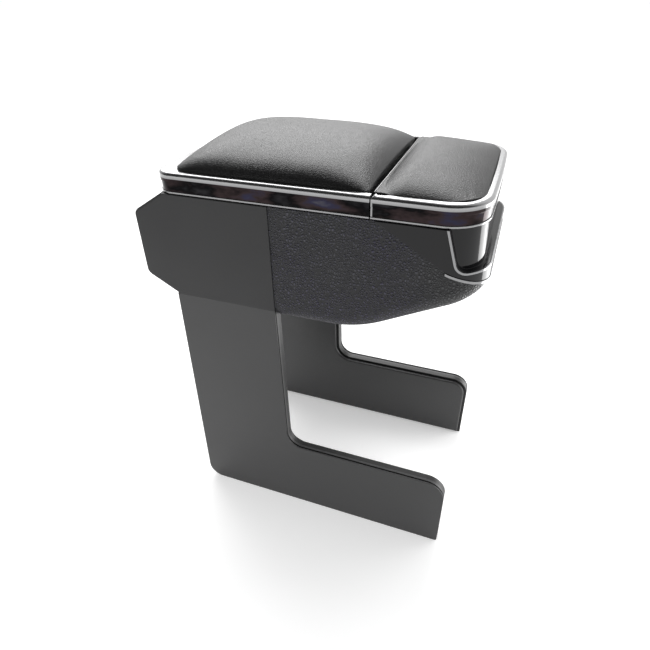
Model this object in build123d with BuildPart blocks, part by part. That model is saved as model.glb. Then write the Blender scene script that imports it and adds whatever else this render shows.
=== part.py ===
"""Center console: an armrest box on two L-shaped legs, closed by a padded rear lid and a small front lid."""
import os

from build123d import *

os.makedirs("parts", exist_ok=True)

# Overall form in millimetres: +X is the front, +Y the left side, the floor is at height zero
LENGTH = 255.5
WIDTH = 150.0
LEG_HEIGHT = 213.0
BODY_HEIGHT = 81.0
OVERRUN = 20.0
CUT_OUTWARD = 5.0
CUT_INWARD = 10.0
FIT = 0.2
SKIN_FIT = 0.1

# Legs: a hollow outer shell with a shadow groove, closed by an inner cover on pegs
REAR_OVERHANG = 23.0
LEG_DEPTH = 89.0
LEG_TAPER = 2.5
FOOT_LENGTH = 229.0
FOOT_HEIGHT = 71.5
HEEL_RADIUS = 13.0
TOE_RADIUS = 2.0
INSTEP_RADIUS = 16.0
CROOK_RADIUS = 14.0
LEG_SHELL_DEPTH = 9.0
LEG_FLOOR = 3.0
LEG_FACE = 1.0
LEG_WALL = 2.6
LEG_HEAD = 14.0
GROOVE_WIDTH = 1.2
GROOVE_DEPTH = 1.6
COVER_THICKNESS = 3.0
COVER_INSET = 2.6
COVER_EDGE = 1.4
PEG_RADIUS = 1.6
PEG_LENGTH = 4.0
BOSS_RADIUS = 3.6
TOE_PEG_RUN = 40.0
HEAD_PEG_DROP = 45.0

# Rear housing
HOUSING_WALL = 2.5
BACK_TOP_RUN = 26.0
BACK_TOP_DROP = 16.0
BACK_FOOT_RUN = 25.0
BACK_FOOT_RISE = 14.0
BACK_RADIUS = 6.0
SIDE_RADIUS = 2.0

# Front hull
HULL_WALL = 3.0
HULL_STEP = 0.4
HULL_DROP = 8.0
SEAM_GAP = 0.3
CHINE_RUN = 85.0
CHINE_RADIUS = 90.0
NOSE_DROP = 45.5
NOSE_LEAN = 2.5
CORNER_RADIUS = 28.0
KEEL_RADIUS = 14.0
UNDERSIDE_NORMAL = 0.3
TONGUE_LENGTH = 16.0
TONGUE_WIDTH = 90.0

# Gloss fascia with its finger scoop and two bright trims
FASCIA_RUN = 72.5
FASCIA_BEND_RUN = 25.0
FASCIA_BEND_DROP = 28.5
FASCIA_LIP_DROP = 38.0
FASCIA_BEND_RADIUS = 20.0
FASCIA_PROUD = 0.6
FASCIA_DEPTH = 1.7
SCOOP_TOP_RUN = 26.3
SCOOP_RUN = 18.3
SCOOP_DROP = 28.0
SCOOP_RADIUS = 8.0
SCOOP_DEPTH = 4.0
SCOOP_WALL = 2.0
TRIM_WIDTH = 1.6
TRIM_PROUD = 0.5
TRIM_DEPTH = 0.9
LOWER_TRIM_RUN = 26.0

# Lid frames: a bead over an upright band with a thin lip
FRAME_INSET = 1.0
FRAME_BACK = 4.5
FRAME_SETBACK = 4.2
FRAME_BOW = 1.5
FRAME_FRONT_RADIUS = 28.0
FRAME_REAR_RADIUS = 14.0
FRAME_TAIL = 7.9
PAD_REAR_RADIUS = 12.0
LID_GAP = 0.6
BAND_HEIGHT = 8.0
BAND_INSET = 0.6
BAND_WALL = 2.0
LIP_HEIGHT = 1.2
BEAD_HEIGHT = 6.5
BEAD_WIDTH = 5.0
BEAD_RADIUS = 2.3
FRONT_LID_LENGTH = 71.8
SPLIT_GAP = 0.8

# Lid panels and pads
PANEL_THICKNESS = 5.0
PANEL_RECESS = 2.6
PANEL_RIM = 10.0
PANEL_RIB = 2.0
REAR_PANEL_RIBS = 3
FRONT_PANEL_RIBS = 2
PAD_FIT = 0.4
PAD_SINK = 1.0
REAR_PAD_CROWN = 20.0
REAR_PAD_HEEL = 40.0
REAR_PAD_SLOPE = 50.0
REAR_PAD_SETBACK = 2.0
FRONT_PAD_CROWN = 10.0
FRONT_PAD_HEEL = 14.0

# Storage bin, front tray and their mats
FLANGE = 2.0
LEDGE_DEPTH = 4.0
LEDGE_REACH = 8.0
LEDGE_STOP = 10.0
FLANGE_INSET = 7.2
FLANGE_BACK = 12.5
FLANGE_JOINT = 4.2
BIN_WALL = 2.0
BIN_RADIUS = 8.0
BIN_INSET = 13.0
BIN_CLEARANCE = 1.0
BIN_BACK = 17.0
BIN_FRONT = 8.5
TRAY_INSET = 19.0
TRAY_DEPTH = 30.0
TRAY_BACK = 10.0
TRAY_FRONT = 18.0
MAT_THICKNESS = 1.5
MAT_FIT = 0.5

# Rear hinges
HINGE_INSET = 33.0
HINGE_WIDTH = 24.0
KNUCKLE_WIDTH = 9.4
KNUCKLE_GAP = 0.3
KNUCKLE_RADIUS = 2.6
PIN_RADIUS = 1.2
PIN_CLEARANCE = 0.06
LEAF = 1.2
LEAF_LENGTH = 15.0
LEAF_START = 2.0
HINGE_RISE = 3.4
UPSTAND = 1.4

# Front hinge
BARREL_RADIUS = 2.2
ROD_RADIUS = 1.1
POST_INSET = 37.0
POST_WIDTH = 14.0
POST_WALL = 1.8
RAIL_WALL = 2.0

# Screws and buffers
SCREW_RADIUS = 1.6
SCREW_HEAD_RADIUS = 3.0
SCREW_HEAD = 2.0
SCREW_LENGTH = 11.0
SCREW_SPACING = 56.0
BUFFER_RADIUS = 2.4
BUFFER_RUN = 12.0
BUFFER_GAP = 0.2

# Places worked out from the sizes above
half = WIDTH / 2
x_rear = -LENGTH / 2
x_nose = LENGTH / 2
x_heel = x_rear + REAR_OVERHANG
x_toe = x_heel + FOOT_LENGTH
x_seam = x_heel + LEG_DEPTH - LEG_TAPER
z_top = LEG_HEIGHT + BODY_HEIGHT
z_keel = LEG_HEIGHT - HULL_DROP
z_floor = LEG_HEIGHT + HOUSING_WALL
z_ledge = z_top - FLANGE
x_frame_back = x_rear + BACK_TOP_RUN - FRAME_BACK
x_frame_front = x_nose - FRAME_SETBACK
x_split = x_frame_front - FRONT_LID_LENGTH
x_rear_lid = x_split - SPLIT_GAP / 2
x_front_lid = x_split + SPLIT_GAP / 2
half_frame = half - FRAME_INSET
z_band = z_top + LID_GAP
z_bead = z_band + BAND_HEIGHT
z_bead_top = z_bead + BEAD_HEIGHT
z_panel = z_bead - PANEL_THICKNESS
panel_inset = BAND_INSET + BAND_WALL + FIT
x_rod = x_front_lid + BARREL_RADIUS
z_rod = z_bead_top - BARREL_RADIUS + FIT
x_rail = x_rod + BARREL_RADIUS + PAD_FIT


# Shared outlines

def leg_outline(plane, inset=0.0, top=LEG_HEIGHT):
    """L-shaped side outline of a leg, moved inwards by the inset and cut at a height."""
    lean = LEG_TAPER * top / LEG_HEIGHT
    with BuildSketch(plane) as outline:
        with BuildLine():
            FilletPolyline(
                (x_heel + lean, top),
                (x_heel, 0),
                (x_toe, 0),
                (x_toe, FOOT_HEIGHT),
                (x_heel + LEG_DEPTH, FOOT_HEIGHT),
                (x_heel + LEG_DEPTH - lean, top),
                radius=[0, HEEL_RADIUS, TOE_RADIUS, INSTEP_RADIUS, CROOK_RADIUS, 0],
                close=True,
            )
        make_face()
        if inset:
            offset(amount=-inset, mode=Mode.REPLACE)
    return outline.sketch


def housing_outline(open_run):
    """Six-sided side outline of the housing, run on past its open top and front."""
    slope = BACK_TOP_RUN / BACK_TOP_DROP
    with BuildSketch(Plane.XZ) as outline:
        with BuildLine():
            Polyline(
                (x_rear + BACK_TOP_RUN + open_run * slope, z_top + open_run),
                (x_rear, z_top - BACK_TOP_DROP),
                (x_rear, LEG_HEIGHT + BACK_FOOT_RISE),
                (x_rear + BACK_FOOT_RUN, LEG_HEIGHT),
                (x_seam + open_run, LEG_HEIGHT),
                (x_seam + open_run, z_top + open_run),
                close=True,
            )
        make_face()
    return outline.sketch


def rim_edges(faces):
    """Edges that belong to only one of the faces."""
    every = [edge for face in faces for edge in face.edges()]
    return [edge for edge in every if sum(edge.is_same(other) for other in every) == 1]


def hull_form(grow):
    """Solid outer form of the hull, grown outwards, open-ended past its rim and its seam."""
    lean = NOSE_LEAN * (NOSE_DROP + OVERRUN) / NOSE_DROP
    with BuildPart() as form:
        with BuildSketch(Plane.XZ):
            with BuildLine():
                FilletPolyline(
                    (x_seam - OVERRUN, z_top + OVERRUN),
                    (x_seam - OVERRUN, z_keel),
                    (x_nose - CHINE_RUN, z_keel),
                    (x_nose, z_top - NOSE_DROP),
                    (x_nose - lean, z_top + OVERRUN),
                    radius=[0, 0, CHINE_RADIUS, 0, 0],
                    close=True,
                )
            make_face()
            offset(amount=grow, kind=Kind.INTERSECTION, mode=Mode.REPLACE)
        extrude(amount=half - HULL_STEP + grow, both=True)
        front = form.faces().sort_by(Axis.X)[-1]
        fillet(front.edges().filter_by(Axis.Y, reverse=True), CORNER_RADIUS + grow)
        under = [face for face in form.faces() if face.normal_at().Z < -UNDERSIDE_NORMAL]
        bottom = [edge for edge in rim_edges(under) if edge.center().X > x_seam - OVERRUN - grow + FIT]
        fillet(bottom, KEEL_RADIUS + grow)
    return form.part


def hull_layer(outward, inward):
    """Skin of the hull form between two distances from its outer face."""
    with BuildPart() as layer:
        add(hull_form(outward))
        add(hull_form(-inward), mode=Mode.SUBTRACT)
    return layer.part


def fascia_region(grow):
    """Side outline of the fascia, from its tips on the rim to the nose."""
    rise = OVERRUN * (FASCIA_RUN - FASCIA_BEND_RUN) / FASCIA_BEND_DROP
    with BuildSketch(Plane.XZ) as region:
        with BuildLine():
            FilletPolyline(
                (x_nose - FASCIA_RUN - rise, z_top + OVERRUN),
                (x_nose - FASCIA_BEND_RUN, z_top - FASCIA_BEND_DROP),
                (x_nose, z_top - FASCIA_LIP_DROP),
                (x_nose + OVERRUN, z_top - FASCIA_LIP_DROP),
                (x_nose + OVERRUN, z_top + OVERRUN),
                radius=[0, FASCIA_BEND_RADIUS, 0, 0, 0],
                close=True,
            )
        make_face()
        if grow:
            offset(amount=grow, kind=Kind.INTERSECTION, mode=Mode.REPLACE)
    return region.sketch


def scoop_region(grow):
    """Side outline of the finger scoop, open at the rim and the nose."""
    lean = (SCOOP_TOP_RUN - SCOOP_RUN) / SCOOP_DROP * OVERRUN
    with BuildSketch(Plane.XZ) as region:
        with BuildLine():
            FilletPolyline(
                (x_nose - SCOOP_TOP_RUN - lean, z_top + OVERRUN),
                (x_nose - SCOOP_RUN, z_top - SCOOP_DROP),
                (x_nose + OVERRUN, z_top - SCOOP_DROP),
                (x_nose + OVERRUN, z_top + OVERRUN),
                radius=[0, SCOOP_RADIUS, 0, 0],
                close=True,
            )
        make_face()
        if grow:
            offset(amount=grow, kind=Kind.INTERSECTION, mode=Mode.REPLACE)
    return region.sketch


def skin_patch(region, outward, inward):
    """Piece of the hull's skin inside a side outline, cut off at the rim."""
    with BuildPart() as patch:
        add(hull_layer(outward, inward))
        extrude(region, amount=WIDTH, both=True, mode=Mode.INTERSECT)
        split(bisect_by=Plane.XY.offset(z_top), keep=Keep.BOTTOM)
    return patch.part


def lid_outline(z, inset, rear_radius, tail=0.0):
    """Plan outline of both lids together, moved inwards by the inset and, at the rear, by the tail too."""
    side = half_frame - inset
    front = x_frame_front - inset
    back = x_frame_back + inset + tail
    with BuildSketch(Plane.XY.offset(z)) as outline:
        with BuildLine():
            Polyline(
                (front - FRAME_BOW, -side),
                (back, -side),
                (back, side),
                (front - FRAME_BOW, side),
            )
            ThreePointArc((front - FRAME_BOW, side), (front, 0), (front - FRAME_BOW, -side))
        make_face()
        fillet(outline.vertices().group_by(Axis.X)[-1], FRAME_FRONT_RADIUS - inset)
        fillet(outline.vertices().group_by(Axis.X)[0], rear_radius)
    return outline.sketch


def lid_frame():
    """Bead, band and lip round both lids, before the split."""
    with BuildPart() as frame:
        extrude(lid_outline(z_bead, 0, FRAME_REAR_RADIUS), amount=BEAD_HEIGHT)
        fillet(frame.faces().sort_by(Axis.Z)[-1].edges(), BEAD_RADIUS)
        extrude(lid_outline(z_band, BAND_INSET, FRAME_REAR_RADIUS - BAND_INSET), amount=BAND_HEIGHT)
        extrude(lid_outline(z_band, 0, FRAME_REAR_RADIUS), amount=LIP_HEIGHT)
        inner = BAND_INSET + BAND_WALL
        extrude(lid_outline(z_band, inner, FRAME_REAR_RADIUS - inner), amount=BAND_HEIGHT, mode=Mode.SUBTRACT)
        extrude(
            lid_outline(z_bead, BEAD_WIDTH, PAD_REAR_RADIUS, FRAME_TAIL),
            amount=BEAD_HEIGHT,
            mode=Mode.SUBTRACT,
        )
    return frame.part


def pad_form(x_start, x_end, crown, heel, slope):
    """Crowned cushion inside the bead: elliptical ends along the lids, one elliptical arch across them."""
    side = half_frame - BEAD_WIDTH - PAD_FIT
    spring = z_bead_top - PAD_SINK
    rise = crown + PAD_SINK
    with BuildPart() as pad:
        with BuildSketch(Plane.XZ):
            with BuildLine():
                Polyline((x_start, spring), (x_start, z_bead), (x_end, z_bead), (x_end, spring))
                EllipticalCenterArc((x_end - slope, spring), slope, rise, 0, arc_size=90)
                EllipticalCenterArc((x_start + heel, spring), heel, rise, 90, arc_size=90)
                if x_end - slope > x_start + heel + FIT:
                    Line((x_end - slope, spring + rise), (x_start + heel, spring + rise))
            make_face()
        extrude(amount=half, both=True)
        with BuildSketch(Plane.YZ):
            with BuildLine():
                Polyline((-side, spring), (-side, z_bead), (side, z_bead), (side, spring))
                EllipticalCenterArc((0, spring), side, rise, 0, arc_size=180)
            make_face()
        extrude(amount=LENGTH, both=True, mode=Mode.INTERSECT)
        extrude(
            lid_outline(z_bead, BEAD_WIDTH + PAD_FIT, PAD_REAR_RADIUS, FRAME_TAIL),
            amount=BEAD_HEIGHT + crown,
            mode=Mode.INTERSECT,
        )
    return pad.part


def lid_panel(x_start, x_end, ribs):
    """Plate under a pad, recessed underneath round its ribs."""
    middle = (x_start + x_end) / 2
    inner = half_frame - panel_inset - PANEL_RIM
    with BuildPart() as panel:
        extrude(lid_outline(z_panel, panel_inset, FRAME_REAR_RADIUS - panel_inset), amount=PANEL_THICKNESS)
        split(bisect_by=Plane.YZ.offset(x_start), keep=Keep.TOP)
        split(bisect_by=Plane.YZ.offset(x_end), keep=Keep.BOTTOM)
        with BuildSketch(Plane.XY.offset(z_panel)):
            with Locations((middle, 0)):
                RectangleRounded(x_end - x_start - 2 * PANEL_RIM, 2 * inner, BIN_RADIUS)
            with Locations((middle, 0)):
                with GridLocations(0, 2 * inner / (ribs + 1), 1, ribs):
                    Rectangle(x_end - x_start, PANEL_RIB, mode=Mode.SUBTRACT)
        extrude(amount=PANEL_RECESS, mode=Mode.SUBTRACT)
    return panel.part


def skin_ring(region, inner_grow, outer_grow, x_from, outward, inward):
    """Strip of the hull's skin along the edge of a side outline, in front of a place."""
    with BuildSketch(Plane.XZ) as strip:
        add(region(outer_grow))
        add(region(inner_grow), mode=Mode.SUBTRACT)
        with Locations((x_from + LENGTH / 2, z_top)):
            Rectangle(LENGTH, LENGTH, mode=Mode.INTERSECT)
    return skin_patch(strip.sketch, outward, inward)


def write(piece, name):
    """Label a finished piece and write its file."""
    piece.label = name
    export_step(piece, "parts/" + name + ".step")


# Legs
face_plane = Plane.XZ.offset(half)
groove_plane = face_plane.offset(-LEG_FACE)
band_plane = groove_plane.offset(-GROOVE_WIDTH)
pocket_plane = face_plane.offset(-LEG_FLOOR)
cover_plane = face_plane.offset(-LEG_SHELL_DEPTH)
pocket_top = LEG_HEIGHT - LEG_HEAD
x_leg_middle = x_heel + LEG_DEPTH / 2
peg_places = [
    (x_toe - TOE_PEG_RUN, FOOT_HEIGHT / 2),
    (x_leg_middle, FOOT_HEIGHT / 2),
    (x_leg_middle, LEG_HEIGHT - HEAD_PEG_DROP),
]
leg_screw_places = [
    (x_leg_middle - SCREW_SPACING / 2, -(half - HOUSING_WALL - SCREW_HEAD_RADIUS - FIT)),
    (x_leg_middle + SCREW_SPACING / 2, -(half - HOUSING_WALL - SCREW_HEAD_RADIUS - FIT)),
]

with BuildPart() as right_leg_shell:
    extrude(leg_outline(face_plane), amount=-LEG_FACE)
    extrude(leg_outline(groove_plane, GROOVE_DEPTH), amount=-GROOVE_WIDTH)
    extrude(leg_outline(band_plane), amount=-(LEG_SHELL_DEPTH - LEG_FACE - GROOVE_WIDTH))
    extrude(
        leg_outline(pocket_plane, LEG_WALL, pocket_top),
        amount=-(LEG_SHELL_DEPTH - LEG_FLOOR),
        mode=Mode.SUBTRACT,
    )
    with BuildSketch(pocket_plane):
        with Locations(*peg_places):
            Circle(BOSS_RADIUS)
    extrude(amount=-(LEG_SHELL_DEPTH - LEG_FLOOR))
    with BuildSketch(cover_plane):
        with Locations(*peg_places):
            Circle(PEG_RADIUS + SKIN_FIT)
    extrude(amount=PEG_LENGTH + FIT, mode=Mode.SUBTRACT)
    with BuildSketch(Plane.XY.offset(LEG_HEIGHT)):
        with Locations(*leg_screw_places):
            Circle(SCREW_RADIUS)
    extrude(amount=-(SCREW_LENGTH - HOUSING_WALL), mode=Mode.SUBTRACT)

with BuildPart() as right_leg_cover:
    extrude(leg_outline(cover_plane, COVER_INSET), amount=-COVER_THICKNESS)
    fillet(right_leg_cover.faces().sort_by(Axis.Y)[-1].edges(), COVER_EDGE)
    with BuildSketch(cover_plane):
        with Locations(*peg_places):
            Circle(PEG_RADIUS)
    extrude(amount=PEG_LENGTH)

with BuildPart() as left_leg_shell:
    mirror(right_leg_shell.part, about=Plane.XZ)

with BuildPart() as left_leg_cover:
    mirror(right_leg_cover.part, about=Plane.XZ)

# Rear housing
tongue_screw_places = [
    (x_seam - TONGUE_LENGTH / 2, -TONGUE_WIDTH / 4),
    (x_seam - TONGUE_LENGTH / 2, TONGUE_WIDTH / 4),
]
leg_screws_all = [(x, y * side) for x, y in leg_screw_places for side in (1, -1)]
ledge_back = x_rear + BACK_TOP_RUN + FIT
with BuildPart() as rear_housing:
    extrude(housing_outline(0), amount=half, both=True)
    back = rear_housing.edges().filter_by(Axis.Y).group_by(Axis.X)[0]
    fillet(back, BACK_RADIUS)
    sides = rear_housing.faces().filter_by(Plane.XZ)
    lines = [
        edge
        for edge in rim_edges(sides)
        if edge.center().X < x_rear + BACK_TOP_RUN - FIT
    ]
    fillet(lines, SIDE_RADIUS)
    with BuildSketch(Plane.XZ):
        add(housing_outline(OVERRUN))
        offset(amount=-HOUSING_WALL, kind=Kind.INTERSECTION, mode=Mode.REPLACE)
    extrude(amount=half - HOUSING_WALL, both=True, mode=Mode.SUBTRACT)
    with BuildSketch(Plane.XY.offset(z_ledge)):
        for side in (1, -1):
            with Locations(((ledge_back + x_seam) / 2, side * (half - HOUSING_WALL - LEDGE_REACH / 2))):
                Rectangle(x_seam - ledge_back, LEDGE_REACH)
    extrude(amount=-LEDGE_DEPTH)
    with BuildSketch(Plane.XY.offset(z_floor)):
        with Locations(*leg_screws_all, *tongue_screw_places):
            Circle(SCREW_RADIUS)
    extrude(amount=-HOUSING_WALL, mode=Mode.SUBTRACT)

write(right_leg_shell.part, "right_leg_shell")
write(right_leg_cover.part, "right_leg_cover")
write(left_leg_shell.part, "left_leg_shell")
write(left_leg_cover.part, "left_leg_cover")
write(rear_housing.part, "rear_housing")

# Front hull, with a low bulkhead at its seam and a ledge under its rim
z_tongue = z_floor + HULL_WALL
x_ledge_end = x_nose - SCOOP_TOP_RUN - LEDGE_STOP
with BuildPart() as bulkhead:
    add(hull_form(-HULL_WALL / 2))
    with BuildSketch(Plane.XZ):
        with Locations((x_seam + SEAM_GAP, z_tongue)):
            Rectangle(HULL_WALL, OVERRUN * 2, align=(Align.MIN, Align.MAX))
    extrude(amount=WIDTH, both=True, mode=Mode.INTERSECT)

with BuildPart() as hull_ledge:
    add(hull_layer(-HULL_WALL / 2, HULL_WALL + LEDGE_REACH))
    with BuildSketch(Plane.XZ):
        with Locations((x_seam + SEAM_GAP, z_ledge)):
            Rectangle(x_ledge_end - x_seam - SEAM_GAP, LEDGE_DEPTH, align=(Align.MIN, Align.MAX))
    extrude(amount=WIDTH, both=True, mode=Mode.INTERSECT)

x_lower_trim = x_nose - LOWER_TRIM_RUN
with BuildPart() as front_hull:
    add(hull_form(0))
    add(hull_form(-HULL_WALL), mode=Mode.SUBTRACT)
    split(bisect_by=Plane.XY.offset(z_top), keep=Keep.BOTTOM)
    split(bisect_by=Plane.YZ.offset(x_seam + SEAM_GAP), keep=Keep.TOP)
    add(bulkhead.part)
    add(hull_ledge.part)
    with BuildSketch(Plane.XY.offset(z_floor)):
        with Locations((x_seam + SEAM_GAP + HULL_WALL, 0)):
            Rectangle(TONGUE_LENGTH + HULL_WALL, TONGUE_WIDTH, align=(Align.MAX, Align.CENTER))
    extrude(amount=HULL_WALL)
    with BuildSketch(Plane.XY.offset(z_tongue)):
        with Locations(*tongue_screw_places):
            Circle(SCREW_RADIUS)
    extrude(amount=-HULL_WALL, mode=Mode.SUBTRACT)
    add(skin_patch(fascia_region(FIT), CUT_OUTWARD, FASCIA_DEPTH + SKIN_FIT), mode=Mode.SUBTRACT)
    add(skin_patch(scoop_region(SCOOP_WALL + FIT), CUT_OUTWARD, CUT_INWARD), mode=Mode.SUBTRACT)
    trim_seat = TRIM_WIDTH + 2 * FIT
    add(
        skin_ring(fascia_region, FIT, trim_seat, x_lower_trim - FIT, CUT_OUTWARD, TRIM_DEPTH + SKIN_FIT),
        mode=Mode.SUBTRACT,
    )
write(front_hull.part, "front_hull")

# Fascia and its trims
with BuildPart() as front_fascia:
    add(skin_patch(fascia_region(0), FASCIA_PROUD, FASCIA_DEPTH))
    add(skin_patch(scoop_region(SCOOP_WALL), FASCIA_PROUD, SCOOP_DEPTH + SCOOP_WALL))
    add(skin_patch(scoop_region(0), CUT_OUTWARD, SCOOP_DEPTH), mode=Mode.SUBTRACT)
    add(skin_ring(scoop_region, 0, TRIM_WIDTH + FIT, 0, CUT_OUTWARD, 0), mode=Mode.SUBTRACT)
write(front_fascia.part, "front_fascia")

trim_outward = FASCIA_PROUD + TRIM_PROUD
write(skin_ring(scoop_region, FIT, TRIM_WIDTH, 0, trim_outward, -SKIN_FIT), "scoop_trim")
write(skin_ring(fascia_region, FIT, TRIM_WIDTH + FIT, x_lower_trim, trim_outward, TRIM_DEPTH), "lower_trim")

# Storage bin and front tray
half_flange = half - FLANGE_INSET
half_bin = half - BIN_INSET
half_tray = half - TRAY_INSET
x_flange_back = x_frame_back + FLANGE_BACK
x_joint = x_split - FLANGE_JOINT
x_bin_back = x_frame_back + BIN_BACK
x_bin_front = x_split - BIN_FRONT
x_bin_middle = (x_bin_back + x_bin_front) / 2
z_bin = z_tongue + SCREW_HEAD + BIN_CLEARANCE
bin_length = x_bin_front - x_bin_back
with BuildPart() as storage_bin:
    with BuildSketch(Plane.XY.offset(z_bin)):
        with Locations((x_bin_middle, 0)):
            RectangleRounded(bin_length, 2 * half_bin, BIN_RADIUS)
    extrude(amount=z_top - z_bin)
    with BuildSketch(Plane.XY.offset(z_ledge)):
        with Locations(((x_flange_back + x_joint) / 2, 0)):
            Rectangle(x_joint - x_flange_back, 2 * half_flange)
    extrude(amount=FLANGE)
    with BuildSketch(Plane.XY.offset(z_bin + BIN_WALL)):
        with Locations((x_bin_middle, 0)):
            RectangleRounded(bin_length - 2 * BIN_WALL, 2 * (half_bin - BIN_WALL), BIN_RADIUS - BIN_WALL)
    extrude(amount=z_top - z_bin, mode=Mode.SUBTRACT)
write(storage_bin.part, "storage_bin")

mat_inset = 2 * (BIN_WALL + MAT_FIT)
with BuildPart() as bin_mat:
    with BuildSketch(Plane.XY.offset(z_bin + BIN_WALL)):
        with Locations((x_bin_middle, 0)):
            RectangleRounded(bin_length - mat_inset, 2 * half_bin - mat_inset, BIN_RADIUS - BIN_WALL)
    extrude(amount=MAT_THICKNESS)
write(bin_mat.part, "bin_mat")

x_tray_back = x_split + TRAY_BACK
x_tray_front = x_frame_front - TRAY_FRONT
x_tray_middle = (x_tray_back + x_tray_front) / 2
tray_length = x_tray_front - x_tray_back
z_tray = z_top - TRAY_DEPTH
flange_inset = FLANGE_INSET - FRAME_INSET
post_places = (POST_INSET - half, half - POST_INSET)
bore = ROD_RADIUS + PIN_CLEARANCE
half_rod = half_frame - BEAD_WIDTH
with BuildPart() as front_tray:
    extrude(lid_outline(z_ledge, flange_inset, FRAME_REAR_RADIUS), amount=FLANGE)
    split(bisect_by=Plane.YZ.offset(x_joint + FIT), keep=Keep.TOP)
    with BuildSketch(Plane.XY.offset(z_tray)):
        with Locations((x_tray_middle, 0)):
            RectangleRounded(tray_length, 2 * half_tray, BIN_RADIUS)
    extrude(amount=z_ledge - z_tray)
    with BuildSketch(Plane.XY.offset(z_tray + BIN_WALL)):
        with Locations((x_tray_middle, 0)):
            RectangleRounded(tray_length - 2 * BIN_WALL, 2 * (half_tray - BIN_WALL), BIN_RADIUS - BIN_WALL)
    extrude(amount=z_top - z_tray, mode=Mode.SUBTRACT)
    for y_post in post_places:
        with BuildSketch(Plane.XZ.offset(-y_post - POST_WIDTH / 2)):
            with Locations((x_rod, z_rod)):
                Circle(BARREL_RADIUS)
            with Locations((x_front_lid, z_top)):
                Rectangle(POST_WALL, z_rod - z_top, align=(Align.MIN, Align.MIN))
        extrude(amount=POST_WIDTH)
    with BuildSketch(Plane.XZ.offset(-half_rod)):
        with Locations((x_rod, z_rod)):
            Circle(bore)
    extrude(amount=2 * half_rod, mode=Mode.SUBTRACT)
write(front_tray.part, "front_tray")

with BuildPart() as tray_mat:
    with BuildSketch(Plane.XY.offset(z_tray + BIN_WALL)):
        with Locations((x_tray_middle, 0)):
            RectangleRounded(tray_length - mat_inset, 2 * half_tray - mat_inset, BIN_RADIUS - BIN_WALL)
    extrude(amount=MAT_THICKNESS)
write(tray_mat.part, "tray_mat")

with BuildPart() as front_hinge_rod:
    with BuildSketch(Plane.XZ.offset(-half_rod + FIT)):
        with Locations((x_rod, z_rod)):
            Circle(ROD_RADIUS)
    extrude(amount=2 * (half_rod - FIT))
write(front_hinge_rod.part, "front_hinge_rod")

# Rear lid
with BuildPart() as rear_lid_frame:
    add(lid_frame())
    split(bisect_by=Plane.YZ.offset(x_rear_lid), keep=Keep.BOTTOM)
write(rear_lid_frame.part, "rear_lid_frame")
write(lid_panel(x_frame_back, x_rear_lid, REAR_PANEL_RIBS), "rear_lid_panel")
x_pad_back = x_frame_back + BEAD_WIDTH + FRAME_TAIL + PAD_FIT
x_pad_front = x_rear_lid - REAR_PAD_SETBACK
write(pad_form(x_pad_back, x_pad_front, REAR_PAD_CROWN, REAR_PAD_HEEL, REAR_PAD_SLOPE), "rear_pad")

# Front lid: its barrels stand between the posts of the tray
post_edge = POST_WIDTH / 2 + KNUCKLE_GAP
half_rail = half_frame - BAND_INSET - BAND_WALL / 2
barrel_spans = [
    (-half_rail, post_places[0] - post_edge),
    (post_places[0] + post_edge, post_places[1] - post_edge),
    (post_places[1] + post_edge, half_rail),
]
x_barrel_front = x_rod + BARREL_RADIUS
x_rail_front = x_rail + RAIL_WALL
with BuildPart() as front_lid_frame:
    add(lid_frame())
    with BuildSketch(Plane.XZ):
        with BuildLine():
            FilletPolyline(
                (x_front_lid, z_band),
                (x_front_lid, z_bead_top),
                (x_nose, z_bead_top),
                (x_nose, z_band),
                radius=[0, BARREL_RADIUS, 0, 0],
                close=True,
            )
        make_face()
    extrude(amount=WIDTH, both=True, mode=Mode.INTERSECT)
    with BuildSketch(Plane.XY.offset(z_panel)):
        with Locations((x_rail, 0)):
            Rectangle(RAIL_WALL, 2 * half_rail, align=(Align.MIN, Align.CENTER))
    extrude(amount=PANEL_THICKNESS)
    for y_low, y_high in barrel_spans:
        with BuildSketch(Plane.XZ.offset(-y_high)):
            with Locations((x_rod, z_rod)):
                Circle(BARREL_RADIUS)
            with BuildLine():
                Polyline(
                    (x_front_lid, z_rod),
                    (x_front_lid, z_panel),
                    (x_rail_front, z_panel),
                    (x_rail_front, z_bead),
                    (x_barrel_front, z_bead),
                    (x_barrel_front, z_rod),
                    close=True,
                )
            make_face()
        extrude(amount=y_high - y_low)
    with BuildSketch(Plane.XZ.offset(-half_rod)):
        with Locations((x_rod, z_rod)):
            Circle(bore)
    extrude(amount=2 * half_rod, mode=Mode.SUBTRACT)
write(front_lid_frame.part, "front_lid_frame")
write(lid_panel(x_rail_front + FIT, x_frame_front, FRONT_PANEL_RIBS), "front_lid_panel")
x_front_pad_end = x_frame_front - BEAD_WIDTH - PAD_FIT
front_slope = x_front_pad_end - x_rail - FRONT_PAD_HEEL
write(pad_form(x_rail, x_front_pad_end, FRONT_PAD_CROWN, FRONT_PAD_HEEL, front_slope), "front_pad")

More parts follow.
